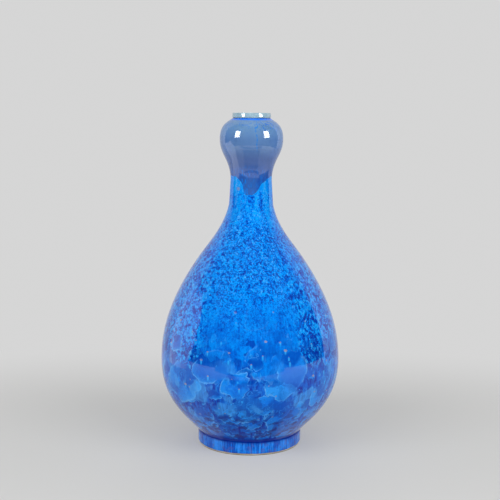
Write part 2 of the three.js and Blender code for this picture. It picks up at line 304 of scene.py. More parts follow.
# %% [markdown]
# ## The bare foot and its recess
# The potter wipes the rim that stands on the kiln shelf, or the glaze would weld it down. So
# the foot ends in bare clay with small chamfers. The recess inside it has a thin clear coat.

# %% The bare foot
ring_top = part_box("foot_ring")[1].z
chamfer, rim_width = 0.6 * mm, 5 * mm
rim_outer = clay_foot_radius - chamfer
rim_inner = rim_outer - rim_width
recess_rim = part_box("base_glaze")[1].x
recess_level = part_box("base_glaze")[1].z

foot_rows = [ring(rim_outer, 0)] + rounded(rim_outer, chamfer, chamfer, chamfer, -75, 0, 6)
foot_rows += [ring(clay_foot_radius, level) for level in np.linspace(1.2 * mm, 2.4 * mm, 4)]
foot_rows += [ring(clay_foot_radius - 0.6 * mm, ring_top), ring(recess_rim - 1.3 * mm, ring_top)]
foot_rows += rounded(rim_inner, chamfer, chamfer, chamfer, 180, 255, 6)
foot_rows.append(ring(rim_inner, 0))
bare_foot = turned("bare_foot", foot_rows, ["foot_ring"])

# %% The clear coat in the recess
recess_round, recess_lean = 3 * mm, 1.3 * mm
ceiling = recess_level - coat_thickness
ceiling_radius = recess_rim - 1.4 * mm - coat_thickness
pinhole = 0.01 * mm

recess_rows = [ring(pinhole, ceiling)]
recess_rows += [ring(r, ceiling) for r in np.linspace(4 * mm, ceiling_radius - recess_round, 12)]
recess_rows += rounded(
    ceiling_radius - recess_round, ceiling - recess_round, recess_round, recess_round, 80, 0, 7
)
recess_rows += [ring(recess_rim - coat_thickness, bare_rim), ring(recess_rim, bare_rim)]
recess_rows += [ring(recess_rim - recess_lean, recess_level), ring(pinhole, recess_level)]
recess_coat = turned("recess_coat", recess_rows, ["base_glaze"])

# %% [markdown]
# ## Shader maths as expressions
# A glaze is a sum of many small effects, and each effect is arithmetic on a position. Wired by
# hand, that is a page of Math nodes. The class below wraps one output of a node, so that the
# arithmetic can be written as an expression, and each operator adds its node.


# %% A wire that does sums
def add_node(tree, kind, settings=None, sockets=None, output=0):
    """Adds a node, sets it, fills its sockets with numbers or wires, and returns one output."""
    made = tree.nodes.new(kind)
    for key, value in (settings or {}).items():
        setattr(made, key, value)
    for key, value in (sockets or {}).items():
        socket = made.inputs[key] if isinstance(key, int) else next(
            s for s in made.inputs if s.name == key and s.enabled
        )
        if isinstance(value, Wire):
            tree.links.new(value.socket, socket)
        else:
            socket.default_value = value
    if isinstance(output, str):
        return Wire(next(s for s in made.outputs if s.name == output and s.enabled))
    return Wire(made.outputs[output])


class Wire:
    """One output of a node, as a value to calculate with."""

    def __init__(self, socket):
        self.socket = socket
        self.tree = socket.id_data

    def maths(self, operation, *others):
        """This value and others through one Math node."""
        values = dict(enumerate((self, *others)))
        return add_node(self.tree, "ShaderNodeMath", {"operation": operation}, values)

    def __add__(self, other):
        return self.maths("ADD", other)

    __radd__ = __add__

    def __mul__(self, other):
        return self.maths("MULTIPLY", other)

    __rmul__ = __mul__

    def __sub__(self, other):
        return self.maths("SUBTRACT", other)

    def __rsub__(self, other):
        return add_node(self.tree, "ShaderNodeMath", {"operation": "SUBTRACT"}, {0: other, 1: self})

    def __truediv__(self, other):
        return self.maths("DIVIDE", other)

    def vector(self, operation, other=None, output=0):
        """The same for directions and places, through a Vector Math node."""
        key = "Scale" if operation == "SCALE" else 1
        sockets = {0: self} if other is None else {0: self, key: other}
        return add_node(self.tree, "ShaderNodeVectorMath", {"operation": operation}, sockets, output)

    def length(self):
        """How long a vector is."""
        return self.vector("LENGTH", output="Value")

    def parts(self):
        """The x, y and z of a vector."""
        split = add_node(self.tree, "ShaderNodeSeparateXYZ", {}, {0: self}).socket.node
        return [Wire(output) for output in split.outputs]

    def rise(self, low, high):
        """0 below low and 1 above high, with a smooth rise between them."""
        sockets = {"Value": self, "From Min": low, "From Max": high}
        return add_node(self.tree, "ShaderNodeMapRange", {"interpolation_type": "SMOOTHSTEP"}, sockets)

    def near(self, value, full, none):
        """1 where this is within full of a value, fading to 0 where it is none away."""
        return 1 - (self - value).maths("ABSOLUTE").rise(full, none)

    def swing(self, weight):
        """Noise from 0 to 1, turned into a swing about 0 of half the weight each way."""
        return (self - 0.5) * weight


print("a wire can add, subtract, multiply and divide")


# %% Colours
def paint(code):
    """A colour written as on screen, #rrggbb, as the linear numbers that Blender wants."""
    screen = [int(code[i : i + 2], 16) / 255 for i in (1, 3, 5)]
    linear = [c / 12.92 if c < 0.04045 else ((c + 0.055) / 1.055) ** 2.4 for c in screen]
    return (*linear, 1)


def mixed(factor, first, second):
    """The first colour, turning into the second as the factor goes from 0 to 1."""
    first, second = (paint(c) if isinstance(c, str) else c for c in (first, second))
    sockets = {"Factor": factor, "A": first, "B": second}
    return add_node(factor.tree, "ShaderNodeMix", {"data_type": "RGBA"}, sockets, "Result")


def ramp(value, first, *steps):
    """Colours that follow one another as a value rises. Each step is from, to, colour."""
    colour = first
    for low, high, following in steps:
        colour = mixed(value.rise(low, high), colour, following)
    return colour


print("linear azure:", [round(c, 3) for c in paint("#0082f5")])

# %% [markdown]
# ## A place on the vase
# Every pattern needs to know where it is. Object coordinates fit best here: they need no seam
# and no unwrapping, and they stay on the vase when it turns. The helper measures in
# millimetres, so that a crystal of 20 is a crystal of 20 mm.


# %% A finish and its measures
class Finish:
    """A material with the measures that its patterns use."""

    def __init__(self, name):
        self.material = bpy.data.materials.new(name)
        self.material.use_nodes = True
        self.tree = self.material.node_tree
        self.shader = self.tree.nodes["Principled BSDF"]
        self.place = add_node(self.tree, "ShaderNodeTexCoord", output="Object").vector("SCALE", 1000.0)
        self.normal = add_node(self.tree, "ShaderNodeTexCoord", output="Normal")
        self.x, self.y, self.z = self.place.parts()

    def joined(self, x, y, z):
        """A vector from three values."""
        return add_node(self.tree, "ShaderNodeCombineXYZ", {}, {0: x, 1: y, 2: z})

    def noise(self, place, size, detail=2.0, roughness=0.5):
        """Cloudy noise from 0 to 1, with lumps about as large as size."""
        sockets = {"Vector": place, "Scale": 1 / size, "Detail": detail, "Roughness": roughness}
        return add_node(self.tree, "ShaderNodeTexNoise", {}, sockets)

    def cells(self, place, size, feature="F1", output="Distance"):
        """Cells about as wide as size, each round its own random nucleus."""
        sockets = {"Vector": place, "Scale": 1 / size}
        return add_node(self.tree, "ShaderNodeTexVoronoi", {"feature": feature}, sockets, output)

    def dress(self, *pieces):
        """Puts the finish on pieces, in place of what they had."""
        for piece in pieces:
            piece.data.materials.clear()
            piece.data.materials.append(self.material)

    def shine(self, **values):
        """Sets or links sockets of the shader by name, with _ for a space."""
        for key, value in values.items():
            socket = self.shader.inputs[key.replace("_", " ")]
            if isinstance(value, Wire):
                self.tree.links.new(value.socket, socket)
            else:
                socket.default_value = value

    def bump(self, height, distance, strength=1.0):
        """Small relief: height goes from 0 to 1, distance is what 1 stands for, in metres."""
        sockets = {"Height": height, "Distance": distance, "Strength": strength}
        self.shine(Normal=add_node(self.tree, "ShaderNodeBump", {}, sockets))

    def tally(self, step):
        """Prints how many nodes the finish has with a new step."""
        print(f"{self.material.name}: {len(self.tree.nodes)} nodes with the {step}")

    def show(self, shader):
        """Makes another shader the one that the material ends in."""
        self.tree.links.new(shader.socket, self.tree.nodes["Material Output"].inputs["Surface"])


print("a finish has:", [name for name in vars(Finish) if not name.startswith("_")])

# %% [markdown]
# ## How a crystal grows
# In the cooling kiln, zinc and silica gather round a nucleus and grow outward in needles until
# they meet. A Voronoi texture has just such nuclei. Its Position output says where the nearest
# one is, so the distance is measured along the surface, and the crystal is a true disc, not a
# slice of a ball. Its rim is wavy, noise that depends only on the direction from the nucleus
# draws the needles, and each crystal has a bright side, more often the one that points down.


# %% Discs of crystal
def crystals(finish, place, size, smallest, largest, waves, offset):
    """A layer of crystals: masks of a disc and its parts, random numbers, and the nucleus."""
    shifted = place.vector("ADD", offset)
    nucleus = finish.cells(shifted, size, output="Position")
    chance, tone, fan = finish.cells(shifted, size, output="Color").parts()
    away = shifted.vector("SUBTRACT", nucleus)
    deep = away.vector("DOT_PRODUCT", finish.normal, "Value")
    flat = away.vector("SUBTRACT", finish.normal.vector("SCALE", deep))
    heading = flat.vector("NORMALIZE")
    lobes = finish.noise(heading.vector("ADD", nucleus), 1.0, 1.0)
    radius = (smallest + (largest - smallest) * chance) * (1 - waves / 2 + waves * lobes)
    radius = radius * (1 - deep.maths("ABSOLUTE").rise(0.15 * size, 0.5 * size))
    share = flat.length() / radius.maths("MAXIMUM", 0.01)
    facing = finish.noise(heading.vector("SCALE", 0.6).vector("ADD", nucleus), 0.8, 0.0)
    side = (facing - heading.parts()[2] * 0.13).rise(0.38, 0.62)
    return {
        "inside": 1 - share.rise(0.92, 1.0),
        "side": side,
        "glow": share.rise(0.3, 0.95) * side,
        "rim": share.rise(0.84, 0.96) * side,
        "needles": finish.noise(heading.vector("ADD", nucleus), 0.09, 2.0),
        "tone": tone,
        "fan": fan,
        "away": flat,
        "home": nucleus.vector("SUBTRACT", offset),
    }


print("crystals() is ready for any finish")

# %% [markdown]
# ## Zones of the blue glaze
# The blue coat changes on its way down: a fine mosaic of flakes on the neck and shoulder, larger
# facets on the flanks, streaks where the glaze ran, large crystals low on the belly, and streaks
# again on the foot. Straight borders would look printed, so slow noise shifts the height at
# which one zone turns into the next.

# %% Zones, with borders that begin and end at levels in mm
glaze = Finish("crystal_blue")
mosaic_start, flank_mosaic_start = (98, 150), (70, 88)
crystals_end, flank_end = (68, 96), (165, 195)
neck_start, drip_start = (186, 212), (226, 236)

height = glaze.z + glaze.noise(glaze.place, 28, 2.0).swing(44)
round_x, round_y = glaze.joined(glaze.x, glaze.y, 0).vector("NORMALIZE").parts()[:2]
# The flanks: partly real facets, partly a painted reflection that stands in for the broken sheen at the
# sides.
flank_sheen_zone = round_x.maths("ABSOLUTE").rise(0.4, 0.62) * (1 - glaze.z.rise(*flank_end))
fine_zone = height.rise(*mosaic_start).maths("MAXIMUM", height.rise(*flank_mosaic_start) * flank_sheen_zone)
large_zone = 1 - height.rise(*crystals_end)
neck_zone, drip_zone = glaze.z.rise(*neck_start), glaze.z.rise(*drip_start)
glaze.tally("zones")

# %% [markdown]
# ## The mosaic of flakes
# Close up, the upper glaze is a mosaic of tiny flakes, each with its own tone, with hair-thin
# lines among them. A photograph of such a glaze could be wrapped on, but it would have a seam
# and fixed light in it. Voronoi cells at two sizes give the flakes, and noise bends them, or
# they would show straight edges. A wave of noise crosses its middle value along a thin line,
# and that line makes the hairs and the dark commas.

# %% Flakes, chips and clouds
bend_x = glaze.noise(glaze.place, 1.8, 2.0) * 3
bend_z = glaze.noise(glaze.place.vector("ADD", (40, 40, 40)), 1.8, 2.0) * 3
warped = glaze.joined(glaze.x + bend_x, glaze.y - bend_x, (glaze.z + bend_z) * 0.8)
flake = glaze.cells(warped, 1.5, output="Color").parts()
chip = glaze.cells(warped, 0.9, output="Color").parts()
grain = glaze.noise(warped, 0.6, 2.0, 0.6)
clouds = glaze.noise(glaze.place, 11, 3.0)
glaze.tally("flakes")

# %% Runs down the wall, gaps, hairs and commas
fine_run_place = glaze.joined(round_x * 60 + bend_x * 0.2, round_y * 60, glaze.z * 0.16)
runs = glaze.noise(fine_run_place, 1.5, 3.0, 0.6)
thick_runs = glaze.noise(glaze.joined(glaze.x, glaze.y, glaze.z * 0.1), 5, 2.0)
ribs = glaze.noise(glaze.joined(round_x * 80, round_y * 80, glaze.z * 0.06), 1.2, 2.0)
wave = glaze.noise(glaze.place, 2.6, 2.0)
hairs = wave.near(0.5, 0.0, 0.05)
commas = glaze.noise(glaze.place.vector("ADD", (9, 70, 30)), 2.2, 2.0).near(0.47, 0.0, 0.05)
gaps = (1 - glaze.cells(warped, 1.6, "DISTANCE_TO_EDGE").rise(0.0, 0.22)) * wave.rise(0.44, 0.6)
glaze.tally("lines")

# %% How bright each flake is
contrast = (1 - neck_zone * 0.45 - drip_zone * 0.3) * (0.95 + 0.5 * height.rise(115, 165))
bright = flake[0].swing(0.55) + chip[0].swing(0.6) + grain.swing(0.8)
bright = bright - gaps * 0.3 + hairs * 0.3 - commas * 0.4
bright = bright * contrast + 0.6 + clouds.swing(0.2) + neck_zone * 0.1 + drip_zone * 0.06
bright = bright + (thick_runs.swing(1.4) + runs.swing(0.5)) * neck_zone
glaze.tally("brightness")

# %% [markdown]
# ## Facets on the flanks
# The flakes are larger and bolder at the two sides, with dark cracks between them. Part of that
# boldness is a painted reflection: it stands in for the sheen that the relief breaks up at the sides.
# The same recipe serves again with wider cells, and the mask of the flanks blends one brightness into
# the other, which costs less than a second glaze.

# %% Facets
facet = glaze.cells(warped, 2.7, output="Color").parts()[0]
crack = 1 - glaze.cells(warped, 2.7, "DISTANCE_TO_EDGE").rise(0.0, 0.16)
bold_and_sheen = facet.swing(1.0) + flake[0].swing(0.9) + grain.swing(1.2) - crack * 0.45 + 0.66
bright = bright + (bold_and_sheen - bright) * flank_sheen_zone
glaze.tally("facets")

# %% [markdown]
# ## Colours of the mosaic
# Dark flakes are navy, middling ones azure and bright ones pale. A single ramp from dark to pale would
# look like one dye. Here the ends of the ramp are themselves mixed flake by flake, and a few of the
# brightest flakes get a painted glint, a pale dot that stands in for a highlight.

# %% Colours of the mosaic
pale_zone = height.rise(130, 180).maths("MAXIMUM", flank_sheen_zone)
navy = mixed(flake[1].rise(0.5, 0.7), "#0430a4", "#183ca8")
pale_azure = mixed(chip[1].rise(0.7, 0.8) * pale_zone, "#04a4ff", "#28acff")
mosaic = ramp(bright, navy, (0.0, 0.36, "#0066e0"), (0.3, 0.64, "#0090f6"), (0.7, 1.05, pale_azure))

# Painted glints: pale dots on the brightest flakes that stand in for highlights.
painted_glint_zone = height.rise(100, 160).maths("MAXIMUM", flank_sheen_zone)
painted_glint = chip[2].rise(0.8, 0.86) * bright.rise(0.62, 0.82) * painted_glint_zone
mosaic = mixed(painted_glint * 0.5, mosaic, "#64b0f4")
glaze.tally("mosaic")

# %% [markdown]
# ## Streaks, and the ground under the crystals
# Below the mosaic the glaze ran in streaks, and the crystals lie on a darker ground. Noise that
# is squeezed in height makes streaks, because one lump of it then reaches far down the wall.

# %% Streaks and ground
streak_tone = 0.5 + runs.swing(1.0) + clouds.swing(0.9) + grain.swing(0.4)
streak_tone = streak_tone + flake[1].swing(0.2) - gaps * 0.16
streaks = ramp(streak_tone, "#0034a8", (0.1, 0.4, "#0068dc"), (0.4, 0.64, "#0088f4"))
streaks = mixed(streak_tone.rise(0.7, 0.95), streaks, "#0ca4ff")
ground_tone = runs * 0.6 + glaze.noise(glaze.place, 7, 3.0) * 0.5
ground = mixed(ground_tone.rise(0.4, 0.66), "#0828a0", "#0468dc")

patches = glaze.noise(glaze.place, 17, 2.0).rise(0.5, 0.6)
patches = patches * height.rise(62, 84) * (1 - height.rise(92, 120))
blue = mixed(fine_zone, streaks, mosaic)
blue = mixed(patches * (0.4 + ribs * 0.6), blue, "#0030a4")
blue = mixed(large_zone, blue, ground)
glaze.tally("streaks")

# %% [markdown]
# ## Pale and dark crystals
# Chance alone decides the tone of a crystal, but on this vase some parts of the front are paler
# or darker than others. Painted patches would show their own edges. So a soft field is read at
# the crystal's nucleus, and the whole crystal turns paler or darker.


# %% A field of soft marks
def field(place, marks):
    """Soft marks on the front: across, up, half width, half height in mm, and strength."""
    x, y, z = place.parts()
    total = 0.0
    for across, up, wide, tall, strength in marks:
        off = glaze.joined((x - across) / wide, 0, (z - up) / tall).length()
        total = (1 - off.rise(0.6, 1.2)) * strength + total
    return total * (1 - y.rise(-40, -20))


pale_marks = ((-47, 75, 16, 10, 0.6), (46, 58, 14, 11, 0.3), (36, 68, 12, 8, 0.2), (34, 87, 9, 6, 0.5))
dark_marks = ((-13, 68, 8, 8, -0.5), (-36, 60, 9, 8, -0.7), (5, 63, 14, 7, -0.7))
print("marks:", len(pale_marks), "pale and", len(dark_marks), "dark")

# %% [markdown]
# ## Crystals of the belly
# The large crystals are the show of this glaze. They overlap like petals: each has a dark half
# and a bright half, needles from the nucleus, and a pale rim where growth stopped. Modelled
# discs would stand out like scales, while on the real vase they lie inside the glass. So they
# are layers of colour, the small ones below and the large ones on top.

# %% Bent places, so that the discs aren't round
sway = glaze.noise(glaze.place, 14, 2.0).swing(14)
ruffle = glaze.noise(glaze.place, 4.5, 3.0).swing(5)
bent = glaze.joined(glaze.x + sway + ruffle, glaze.y - sway - ruffle, glaze.z + sway * 0.6 + ruffle)
glaze.tally("bends")

# %% The colour of one layer of petals
petal_marks = pale_marks + dark_marks


def petal_colour(grown):
    """Colour of the crystals of a layer, from their masks and their tones."""
    dark, light = "#0044b6", mixed(glaze.z.rise(70, 86), "#249cff", "#0898fc")
    tone = grown["tone"] + field(grown["home"], petal_marks)
    body = mixed(tone.rise(0.1, 0.4), dark, "#007af0")
    body = mixed(tone.rise(0.62, 0.86) * 0.8, body, light)
    body = mixed(tone.rise(0.9, 1.4) * 0.5, body, "#4cacff")
    body = mixed((1 - grown["side"]) * 0.7, body, dark)
    body = mixed(grown["needles"].swing(0.5) + ribs.swing(0.7), body, "#18a0ff")
    body = mixed(grown["glow"] * 0.5, body, "#20a0ff")
    body = mixed(grown["rim"] * (runs * 1.6 + 0.1), body, "#64b8ff")
    return mixed(flake[2].swing(0.6) + grain.swing(0.6), body, dark)


print("marks that tint the petals:", len(petal_marks))

# %% Four layers of crystals, with cells and smallest and largest radius in mm
belly_layers = (
    (15, 5, 9, (31, 7, 3)),
    (20, 7, 12, (5, 60, 11)),
    (27, 10, 17, (50, 20, 70)),
    (36, 14, 22, (9, 2, 40)),
)
wavy = 0.6
for size, smallest, largest, offset in belly_layers:
    grown = crystals(glaze, bent, size, smallest, largest, wavy, offset)
    home_level = grown["home"].parts()[2] + grown["fan"].swing(44)
    faint = (1 - home_level.rise(112, 124)) * (1 - flank_sheen_zone) * 0.35
    shown = grown["inside"] * (1 - home_level.rise(86, 88)).maths("MAXIMUM", faint)
    blue = mixed(shown, blue, petal_colour(grown))
    glaze.tally(f"crystals of up to {largest} mm radius")

# %% [markdown]
# ## Veins, splashes and spots
# Where crystals met, the last of the melt shows as bright veins, and the lowest part of the
# belly is spotted with dark glass. Drawing each would be endless. One thin line of noise, one
# patchy noise and one squeezed noise stand for all three.

# %% Veins, splashes and spots
vein = glaze.noise(bent, 11, 2.0, 0.6).near(0.5, 0.004, 0.03) * clouds.rise(0.4, 0.6)
blue = mixed(vein * large_zone * 0.6, blue, "#30a4ff")
splash = glaze.noise(glaze.place.vector("ADD", (7, 3, 60)), 17, 2.0).rise(0.53, 0.62)
splash = splash * large_zone * height.rise(26, 50)
blue = mixed(splash * (runs * 1.2 - 0.1), blue, "#48acff")
spots = glaze.noise(glaze.joined(glaze.x, glaze.y, glaze.z * 1.5), 8, 3.0).rise(0.52, 0.6)
blue = mixed(spots * (1 - glaze.z.rise(30, 60)) * 0.8, blue, "#142488")
glaze.tally("veins")

# %% [markdown]
# ## Smooth and murky patches
# At a few places of the front the glaze is smooth, without crystals, or murky and dark. The
# field of soft marks serves again. Noise moves its places first, so that the patches get the
# ragged outline that a melt has.

# %% Smooth and murky patches
wander = glaze.place.vector("ADD", glaze.joined(ruffle * 2, 0, sway))
smooth = field(wander, ((37, 79, 14, 9, 1.0), (-29, 82, 12, 7, 1.0)))
blue = mixed(smooth * 0.85, blue, "#1c70dc")
murky = field(wander, ((53, 96, 8, 12, 1.0), (-49, 95, 10, 6, 1.0)))
blue = mixed(murky * (1.2 - bright) * 0.7, blue, "#0030a0")
glaze.tally("patches")

# %% [markdown]
# ## The foot and the crease
# On the foot the glaze hangs in narrow upright streaks, and in the crease above it the glass pools and
# turns dark. Real thickness would need a volume, which is slow. A band of darker blue at the crease
# gives the same look on glass this deep; it is partly pooled glass and partly a painted shade in the
# crease.

# %% The foot and the crease
foot_zone = 1 - glaze.z.rise(11.0, 13.0)
foot_tone = 0.52 + ribs.swing(1.3) + runs.swing(0.6) + clouds.swing(1.2) + grain.swing(0.3)
foot_blue = ramp(foot_tone, "#0848b8", (0.3, 0.56, "#047ae8"), (0.5, 0.72, "#2c94fc"))
lilac = glaze.noise(glaze.place, 4, 2.0).rise(0.5, 0.62)
foot_blue = mixed(lilac * 0.5, foot_blue, "#505cb4")
blue = mixed(foot_zone, blue, foot_blue)
# A darker band at the crease: partly pooled glass, partly painted shade.
crease_pool_and_shade = glaze.z.near(13.6, 0.8, 4.0)
blue = mixed(crease_pool_and_shade * 0.9, blue, "#04289c")
glaze.tally("foot")

# %% [markdown]
# ## Nuclei
# A crystal's nucleus stays visible as a pale speck, often with a bright run of glaze hanging
# from it. The specks are crystals too, very small ones, so the same function makes them. The
# trail is the part of the surface that lies just below a speck and hardly beside it.

# %% Specks and their trails
flatter = glaze.joined(glaze.x, glaze.y, glaze.z * 1.3)
speck = crystals(glaze, flatter, size=14, smallest=0.6, largest=1.5, waves=1.2, offset=(12, 40, 77))
speck_zone = (1 - height.rise(110, 150)) * glaze.z.rise(30, 48) * speck["tone"].rise(0.45, 0.5)
off_x, off_y, off_z = speck["away"].parts()
aside = glaze.joined(off_x, off_y, 0).length()
fall = off_z * -1
trail = (1 - aside.rise(0.3, 1.3)) * fall.rise(0.0, 1.0) * (1 - fall.rise(3.0, 7.0))
trail = trail * speck["tone"].rise(0.6, 0.66)
blue = mixed(trail * speck_zone * 0.8, blue, "#30b0ff")
speck_colour = mixed(speck["fan"].rise(0.4, 0.6), "#7c90c4", "#a098a0")
blue = mixed(speck["inside"] * speck_zone * 0.7, blue, speck_colour)
glaze.tally("specks")

# %% One larger speck beside the longest tongue
speck_place = (-10.8, -14.6, 233.5)
from_speck = glaze.place.vector("SUBTRACT", speck_place).length()
blue = mixed((1 - from_speck.rise(0.8, 2.6)) * 0.8, blue, "#8490b4")
print("this speck stands", speck_place[2], "mm up")

# %% [markdown]
# ## Gloss of the blue glaze
# The glaze is glass, with an index of refraction of 1.45, and nearly a mirror. Where flakes
# reach its surface, on the shoulder, it is a touch rougher and bumpy, and that breaks up the
# reflections there. A bump is right for relief of a tenth of a millimetre.

# %% Gloss, and the finish on its piece
rough_zone = glaze.z.rise(125, 170) * (1 - glaze.z.rise(205, 225))
relief = bright * rough_zone + speck["inside"] * speck_zone * 0.4
glaze.bump(relief, 0.13 * mm, 0.5)
glaze.shine(Base_Color=blue, Roughness=0.02 + rough_zone * 0.04, IOR=1.45)
glaze.dress(blue_coat)
glaze.tally("gloss")

# %% [markdown]
# ## The slate glaze
# The glaze of the bulb is smooth and opaque, a greyed blue that is paler towards the top. Its
# tones change slowly, so two broad steps by level and one soft noise are enough. A single flat
# colour would look like plastic.

# %% Slate tones, from the neck up to the crown
slate = Finish("slate_blue")
mottle = slate.noise(slate.place, 9, 3.0).rise(0.3, 0.75)
slate_low = mixed(mottle, "#4868a6", "#506eac")
slate_mid = mixed(mottle, "#567cb4", "#5e84b8")
slate_high = mixed(mottle, "#6690be", "#7098c0")
slate_tone = ramp(slate.z, slate_low, (258, 270, slate_mid), (274, 289, slate_high))
slate.tally("tones")

# %% [markdown]
# ## Traces in the slate
# Near the crown, little threads of bright and dark blue have come up through the slate, and
# one thin run of blue goes down the front. Where noise passes a threshold it gives threads, and
# where it is multiplied with a narrow band it gives a broken line.

# %% Threads, the thin run and painted light on the sides
trace_zone = slate.z.rise(280, 290) * (0.45 + 0.55 * slate.x.rise(2, 8))
traces = slate.noise(slate.place, 1.9, 3.0, 0.6)
slate_tone = mixed(traces.rise(0.52, 0.6) * trace_zone, slate_tone, "#2070d0")
slate_tone = mixed((1 - traces.rise(0.38, 0.46)) * trace_zone * 0.5, slate_tone, "#2c58a0")
front = 1 - slate.y.rise(-5, 0)
wobbly = slate.x + slate.noise(slate.place, 7, 1.0).swing(5)
thin_run = wobbly.near(4.5, 0.2, 0.8) * slate.z.rise(266, 270) * front
slate_tone = mixed(thin_run * traces.rise(0.4, 0.55) * 0.8, slate_tone, "#2080d8")
# Bluer on the two sides low on the bulb: painted light, for how the light falls on the flanks.
painted_side_light = slate.x.maths("ABSOLUTE").rise(12, 24) * slate.z.rise(246, 260)
slate_tone = mixed(painted_side_light * 0.14, slate_tone, "#5c98ff")
slate.tally("threads")

# %% [markdown]
# ## The tongues and the ring at the crown
# Where the slate ran out over the blue it is thin, so it takes on the blue below, with upright
# flecks. Under the lip a ring of clear blue has pooled. Both follow the level on the vase, so
# both are masks of the height.

# %% Thin tongues, flecks and the pooled ring
thin_zone = 1 - slate.z.rise(238, 258)
# Paler middle of the front tongue's lower part: painted light, standing in for a brighter reflection
# there.
tongue_painted_light = slate.x.near(-1, 3, 9) * front * (1 - slate.z.rise(240, 248))
slate_tone = mixed(thin_zone * 0.92, slate_tone, mixed(tongue_painted_light, "#1450ae", "#3062b2"))
flecks = slate.noise(slate.joined(slate.x, slate.y, slate.z * 0.3), 1.3, 2.0).rise(0.5, 0.62)
flecks = flecks * (1 - slate.z.rise(246, 256)) * (0.4 + 0.6 * slate.x.near(-5, 1.5, 5))
slate_tone = mixed(flecks * 0.8, slate_tone, "#0c80e8")
slate_tone = mixed(slate.z.rise(293.0, 294.4), slate_tone, "#0078f8")
slate.shine(Base_Color=slate_tone, Roughness=0.04, IOR=1.6)
slate.dress(slate_coat)
slate.tally("tongues and the ring")

# %% [markdown]
# ## The lip's glaze
# The lip wears a pale grey-green glaze, thin enough to let the porcelain through. Two close
# tones in soft clouds show that, and a gloss with a high index gives its bright windows.

# %% The lip's glaze
pale = Finish("pale_celadon")
pale_tone = mixed(pale.noise(pale.place, 4, 2.0).rise(0.35, 0.7), "#96b6ca", "#a8c6d0")
pale.shine(Base_Color=pale_tone, Roughness=0.05, IOR=1.6)
pale.dress(lip_coat)
pale.tally("clouds")

# %% [markdown]
# ## The clear lining
# Inside, and in the recess of the foot, a clear glaze lies on white clay. Real transparency
# would cost many light paths for a layer that shows only the clay, so a glossy off-white does.

# %% The clear glaze
clear = Finish("clear_glaze")
clear_tone = mixed(clear.noise(clear.place, 12, 3.0).rise(0.3, 0.7), "#cfd9dc", "#dde2e0")
clear.shine(Base_Color=clear_tone, Roughness=0.08)
clear.dress(recess_coat, nodes["inside_glaze"])
clear.tally("clouds")

# %% [markdown]
# ## Bare clay and fired slip
# Bare porcelain is matt and slightly warm, with a fine tooth, and the lowest edge of its foot is a
# painted dark shadow.
# The slip that lutes the sections is the same clay, only coarser. Both sit on packed nodes or
# on the foot, so the finishes go straight onto them.

# %% Bare porcelain
clay = Finish("bare_porcelain")
clay_tone = mixed(clay.noise(clay.place, 6, 3.0).rise(0.3, 0.7), "#c8b898", "#e4dac4")
# The lowest part of the foot is dark brown: a painted contact shadow.
clay_tone = mixed(clay.z.rise(0.3, 0.9), "#4c3c30", clay_tone)
clay.shine(Base_Color=clay_tone, Roughness=0.75)
clay.bump(clay.noise(clay.place, 0.5, 3.0), 0.05 * mm)
sections = [nodes[n] for n in ("lower_belly", "upper_belly", "neck", "garlic_bulb", "lip_collar")]
clay.dress(bare_foot, *sections)
print("pieces of bare clay:", 1 + len(sections))

# %% Fired slip
slip = Finish("fired_slip")
slip_tone = mixed(slip.noise(slip.place, 1.5, 3.0).rise(0.3, 0.7), "#cdbfa4", "#ddd0b8")
slip.shine(Base_Color=slip_tone, Roughness=0.85)
slip_joints = [nodes[n] for n in nodes if n.endswith("_slip_joint")]
slip.dress(*slip_joints)
print("slip joints:", len(slip_joints))

# %% [markdown]
# ## The table
# Glazed ware is mostly what it reflects, so the studio comes next. The vase stands on a pale
# table that ends in front of it, and its front edge draws the level lines on the bulb and the
# tongue. A plane would do for the shadow alone, but the edge has to be an arc about the vase,
# or its reflection would bend.

# %% The tabletop
table_front, table_far = 0.74, 3.0
arc = np.radians(np.linspace(-105, 105, 71))
table_corners = [(table_front * math.sin(a), -table_front * math.cos(a), 0) for a in arc]
table_corners += [(table_far, table_far, 0), (-table_far, table_far, 0)]
table = bpy.data.meshes.new("table")
table.from_pydata(table_corners, [], [list(range(len(table_corners)))])
table_piece = bpy.data.objects.new("table", table)
bpy.context.scene.collection.objects.link(table_piece)
print("table's edge in front:", table_front, "m from the vase")

# %% [markdown]
# ## The table's finish
# The camera has to see a pale table that fades into the wall, with the vase's shadow near by.
# The gloss has to see a dark strip in front, as in a room lit only at the sides, or the belly
# would look milky. Light Path tells the two kinds of ray apart, and the light that falls on
# the vase stays the same.

# %% What each kind of ray sees
wall_grey = (0.67, 0.67, 0.67, 1)


def seen(tree):
    """1 for rays from the camera and for those that gloss or glass sends on, else 0."""
    kinds = ("Is Camera Ray", "Is Glossy Ray", "Is Transmission Ray")
    rays = [add_node(tree, "ShaderNodeLightPath", output=kind) for kind in kinds]
    return (rays[0] + rays[1] + rays[2]).maths("MINIMUM", 1.0)


print("wall grey:", wall_grey[0])

# %% The pale table and its dark strip
tabletop = Finish("tabletop")
table_white, table_dusk = (0.64, 0.64, 0.625, 1), (0.06, 0.06, 0.065, 1)
from_vase = tabletop.joined(tabletop.x, tabletop.y, 0).length()
sideways = tabletop.x.maths("ARCTAN2", tabletop.y * -1).maths("ABSOLUTE") * (180 / math.pi)
table_gloss = add_node(tabletop.tree, "ShaderNodeLightPath", output="Is Glossy Ray")
strip = 0.7 + 0.3 * from_vase.rise(230, 310) - 0.6 * from_vase.rise(330, 420)
strip = (1 - sideways.rise(33, 44)) * strip * table_gloss
table_tone = mixed(strip, table_white, table_dusk)
tabletop.shine(Base_Color=table_tone, Roughness=0.9, Specular_IOR_Level=0.0)
tabletop.tally("dark strip")

